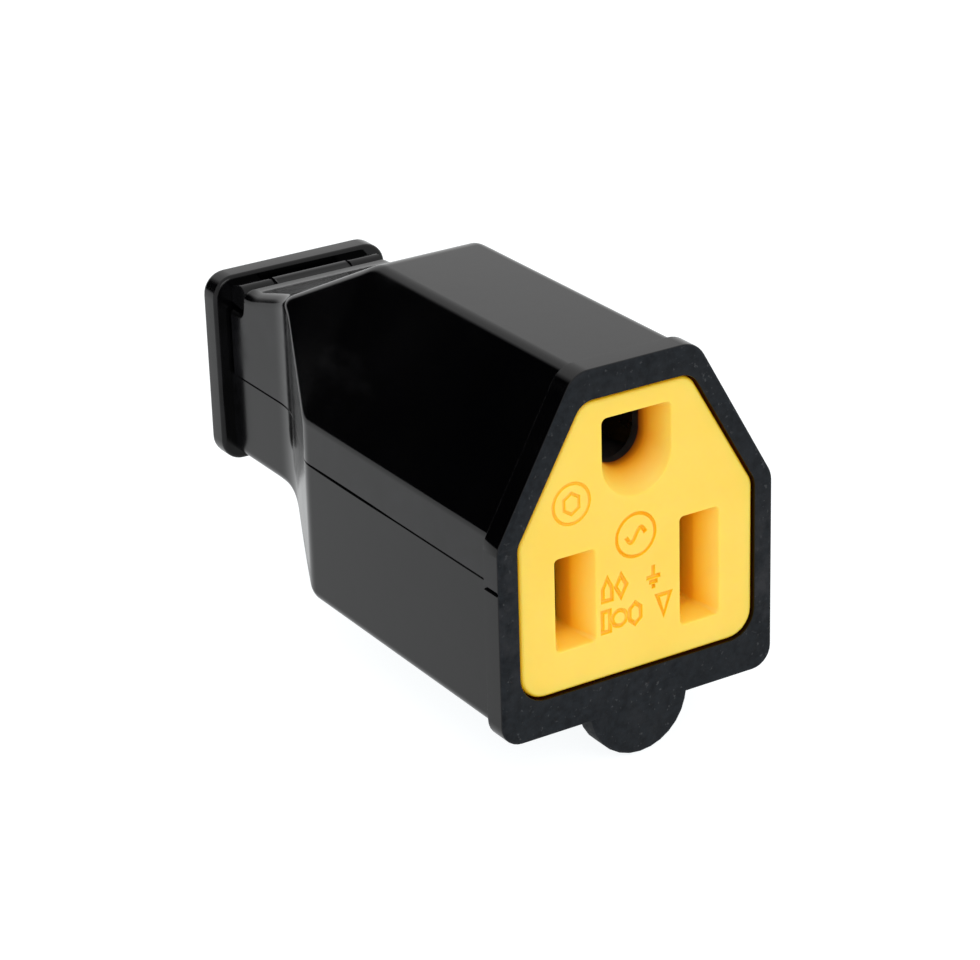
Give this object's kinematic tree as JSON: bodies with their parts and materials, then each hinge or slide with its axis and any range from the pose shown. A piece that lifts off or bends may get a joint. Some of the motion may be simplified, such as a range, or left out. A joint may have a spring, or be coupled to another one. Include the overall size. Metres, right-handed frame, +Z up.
{
  "type": "three-wire cord connector",
  "caption": "Rewireable straight-blade cord connector: yellow contact face in a black hinged housing that opens over screw terminals and a cord clamp.",
  "frame": {"origin": "on the mating face, midway between the two blade slots", "axes": "+Z up towards the ground socket, +Y from the mating face to the cord end, +X towards the wide neutral slot"},
  "size_m": [0.0278, 0.06, 0.0366],
  "materials": {
    "shell_black": "polished black vinyl, matte on the front frame",
    "face_yellow": "satin moulded nylon, warm yellow",
    "insulator_black": "moulded nylon",
    "hinge_pin_nylon": "moulded nylon",
    "contact_brass": "rolled spring brass",
    "screw_brass": "brass plated, turned",
    "screw_nickel": "nickel plated, turned",
    "screw_green": "green passivated steel",
    "zinc_steel": "bright zinc plated steel"
  },
  "bodies": {
    "housing": {"lower_shell": "shell_black", "hinge_pin": "hinge_pin_nylon", "contact_carrier": "face_yellow", "contact_retainer": "insulator_black", "hot_contact": "contact_brass", "neutral_contact": "contact_brass", "ground_contact": "contact_brass", "retainer_screw_1": "zinc_steel", "retainer_screw_2": "zinc_steel", "cord_clamp_cradle": "insulator_black", "cord_clamp_nut_left": "zinc_steel", "cord_clamp_nut_right": "zinc_steel"},
    "cover": {"upper_shell": "shell_black"},
    "hot_plate": {"hot_pressure_plate": "zinc_steel"},
    "hot_screw": {"hot_terminal_screw": "screw_brass"},
    "neutral_plate": {"neutral_pressure_plate": "zinc_steel"},
    "neutral_screw": {"neutral_terminal_screw": "screw_nickel"},
    "ground_plate": {"ground_pressure_plate": "zinc_steel"},
    "ground_screw": {"ground_terminal_screw": "screw_green"},
    "saddle": {"cord_clamp_saddle": "insulator_black"},
    "clamp_screw_left": {"cord_clamp_screw_left": "zinc_steel"},
    "clamp_screw_right": {"cord_clamp_screw_right": "zinc_steel"}
  },
  "joints": [
    {"name": "cover_hinge", "type": "hinge", "parent": "housing", "child": "cover", "pos_m": [0, 0.0553, 0.0105], "axis": [-1, 0, 0], "range_deg": [0, 100]},
    {"name": "hot_plate_travel", "type": "slide", "parent": "housing", "child": "hot_plate", "axis": [-1, 0, 0], "range_m": [0, 0.0016]},
    {"name": "hot_screw_turn", "type": "hinge", "parent": "hot_plate", "child": "hot_screw", "pos_m": [-0.0072, 0.026, 0.005], "axis": [-1, 0, 0], "range_deg": [0, 720]},
    {"name": "neutral_plate_travel", "type": "slide", "parent": "housing", "child": "neutral_plate", "axis": [1, 0, 0], "range_m": [0, 0.0016]},
    {"name": "neutral_screw_turn", "type": "hinge", "parent": "neutral_plate", "child": "neutral_screw", "pos_m": [0.0072, 0.026, 0.005], "axis": [1, 0, 0], "range_deg": [0, 720]},
    {"name": "ground_plate_travel", "type": "slide", "parent": "housing", "child": "ground_plate", "axis": [0, 0, 1], "range_m": [0, 0.0016]},
    {"name": "ground_screw_turn", "type": "hinge", "parent": "ground_plate", "child": "ground_screw", "pos_m": [0, 0.0263, 0.0127], "axis": [0, 0, 1], "range_deg": [0, 720]},
    {"name": "saddle_travel", "type": "slide", "parent": "housing", "child": "saddle", "axis": [0, 0, 1], "range_m": [-0.002, 0]},
    {"name": "clamp_screw_left_turn", "type": "hinge", "parent": "saddle", "child": "clamp_screw_left", "pos_m": [-0.0054, 0.0363, 0.0089], "axis": [0, 0, 1], "range_deg": [-900, 0]},
    {"name": "clamp_screw_right_turn", "type": "hinge", "parent": "saddle", "child": "clamp_screw_right", "pos_m": [0.0054, 0.0363, 0.0089], "axis": [0, 0, 1], "range_deg": [-900, 0]}
  ],
  "couplings": [
    {"joint": "hot_screw_turn", "follows": "hot_plate_travel", "rad_per_m": 7853.9},
    {"joint": "neutral_screw_turn", "follows": "neutral_plate_travel", "rad_per_m": 7853.9},
    {"joint": "ground_screw_turn", "follows": "ground_plate_travel", "rad_per_m": 7853.9},
    {"joint": "clamp_screw_left_turn", "follows": "saddle_travel", "rad_per_m": 7853.9},
    {"joint": "clamp_screw_right_turn", "follows": "saddle_travel", "rad_per_m": 7853.9}
  ]
}
